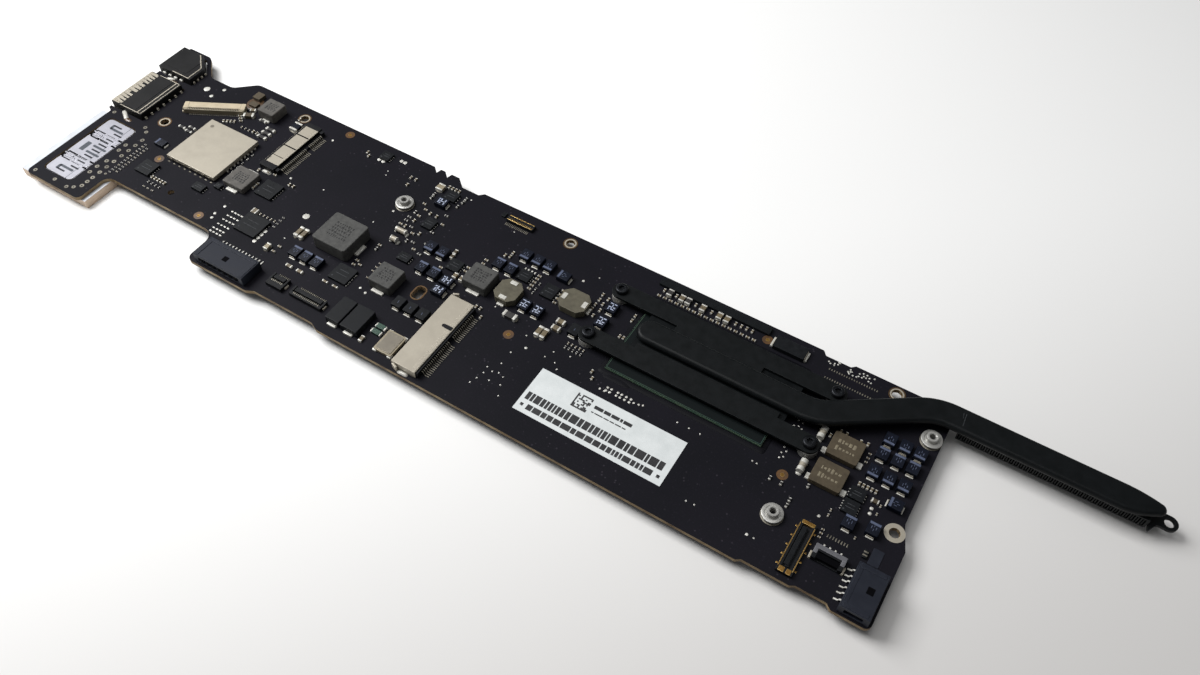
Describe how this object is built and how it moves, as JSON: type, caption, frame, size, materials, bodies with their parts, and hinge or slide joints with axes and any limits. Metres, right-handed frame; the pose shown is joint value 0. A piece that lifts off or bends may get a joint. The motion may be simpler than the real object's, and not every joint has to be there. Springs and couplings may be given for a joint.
{
  "type": "laptop logic board with heat sink",
  "caption": "Black laptop main circuit board with ports, plug-in connectors, power coils and a screwed-on heat sink whose flattened heat pipe reaches out to a fin stack.",
  "frame": {"origin": "on the board's underside, below the middle of the board", "axes": "+X along the board's long side towards the heat sink's fins, +Y towards the rear edge that the heat pipe runs along, +Z out of the component face"},
  "size_m": [0.2894, 0.0612, 0.0076],
  "materials": {
    "solder_mask": "black solder mask, satin",
    "black_paint": "black paint on copper and steel, satin",
    "copper_plate": "bare copper, brushed",
    "laminate": "green laminate, satin",
    "silicon": "polished silicon",
    "tinned_steel": "tinned steel sheet, satin",
    "cover_plate": "tinned steel sheet, pale",
    "nickel": "nickel-plated brass",
    "gold": "gold-plated contacts",
    "black_plastic": "black moulded plastic",
    "slate_plastic": "slate-coloured moulded plastic",
    "cream_plastic": "cream moulded plastic",
    "grey_plastic": "light grey moulded plastic",
    "chip_plastic": "black epoxy",
    "grey_ferrite": "grey pressed ferrite",
    "sand_ferrite": "sand-coloured ferrite",
    "tan_ferrite": "tan pressed ferrite",
    "paper": "printed white label",
    "foam": "black foam"
  },
  "bodies": {
    "board": {"backlight_connector_base": "chip_plastic", "battery_connector": "slate_plastic", "board_power_connector": "slate_plastic", "card_slot_base": "black_plastic", "card_slot_cage": "tinned_steel", "card_slot_cover_plate": "cover_plate", "chipset_die": "silicon", "circuit_board": "solder_mask", "coil_1": "grey_ferrite", "coil_2": "grey_ferrite", "coil_3": "grey_ferrite", "coil_4": "grey_ferrite", "coil_5": "sand_ferrite", "coil_6": "sand_ferrite", "coil_7": "tan_ferrite", "coil_8": "tan_ferrite", "controller_chip": "chip_plastic", "controller_shield_fence": "tinned_steel", "data_port_shell": "tinned_steel", "data_port_tongue": "black_plastic", "display_connector": "cream_plastic", "drive_connector_body": "black_plastic", "drive_connector_shell": "tinned_steel", "fan_connector": "grey_plastic", "flex_connector": "gold", "foam_strip": "foam", "heatsink_standoff_1": "nickel", "heatsink_standoff_2": "nickel", "heatsink_standoff_3": "nickel", "heatsink_standoff_4": "nickel", "memory_chip_1": "chip_plastic", "memory_chip_2": "chip_plastic", "memory_chip_3": "chip_plastic", "memory_chip_4": "chip_plastic", "mounting_standoff_1": "nickel", "mounting_standoff_2": "nickel", "mounting_standoff_3": "nickel", "power_inductor": "grey_ferrite", "processor_die": "silicon", "processor_package": "laminate", "rear_choke": "chip_plastic", "sticker": "paper", "trackpad_connector_base": "chip_plastic", "video_port_shell": "tinned_steel", "video_port_tongue": "black_plastic", "wireless_connector_body": "black_plastic", "wireless_connector_shell": "tinned_steel"},
    "heat_sink": {"heatsink_cold_plate": "copper_plate", "heat_pipe": "black_paint", "heatsink_arm_front": "black_paint", "heatsink_arm_rear": "black_paint", "fin_stack": "black_paint", "fin_stack_lug": "black_paint"},
    "shield_lid": {"controller_shield_lid": "tinned_steel"},
    "trackpad_latch": {"trackpad_connector_latch": "grey_plastic"},
    "backlight_latch": {"backlight_connector_latch": "grey_plastic"},
    "screw_1": {"heatsink_screw_1": "black_paint"},
    "screw_2": {"heatsink_screw_2": "black_paint"},
    "screw_3": {"heatsink_screw_3": "black_paint"},
    "screw_4": {"heatsink_screw_4": "black_paint"}
  },
  "joints": [
    {"name": "heatsink_lift", "type": "slide", "parent": "board", "child": "heat_sink", "axis": [0, 0, 1], "range_m": [0, 0.02]},
    {"name": "screw_1_turn", "type": "hinge", "parent": "heat_sink", "child": "screw_1", "pos_m": [0.0374, 0.00135, 0.004], "axis": [0, 0, 1], "continuous": true},
    {"name": "screw_2_turn", "type": "hinge", "parent": "heat_sink", "child": "screw_2", "pos_m": [0.0937, 0.00135, 0.004], "axis": [0, 0, 1], "continuous": true},
    {"name": "screw_3_turn", "type": "hinge", "parent": "heat_sink", "child": "screw_3", "pos_m": [0.0374, 0.01685, 0.004], "axis": [0, 0, 1], "continuous": true},
    {"name": "screw_4_turn", "type": "hinge", "parent": "heat_sink", "child": "screw_4", "pos_m": [0.0937, 0.01685, 0.004], "axis": [0, 0, 1], "continuous": true},
    {"name": "shield_lid_lift", "type": "slide", "parent": "board", "child": "shield_lid", "axis": [0, 0, 1], "range_m": [0, 0.006]},
    {"name": "trackpad_latch_flip", "type": "hinge", "parent": "board", "child": "trackpad_latch", "pos_m": [-0.0259, -0.02312, 0.00198], "axis": [-1, 0, 0], "range_deg": [0, 90]},
    {"name": "backlight_latch_flip", "type": "hinge", "parent": "board", "child": "backlight_latch", "pos_m": [-0.03545, -0.02262, 0.00198], "axis": [-1, 0, 0], "range_deg": [0, 90]}
  ]
}
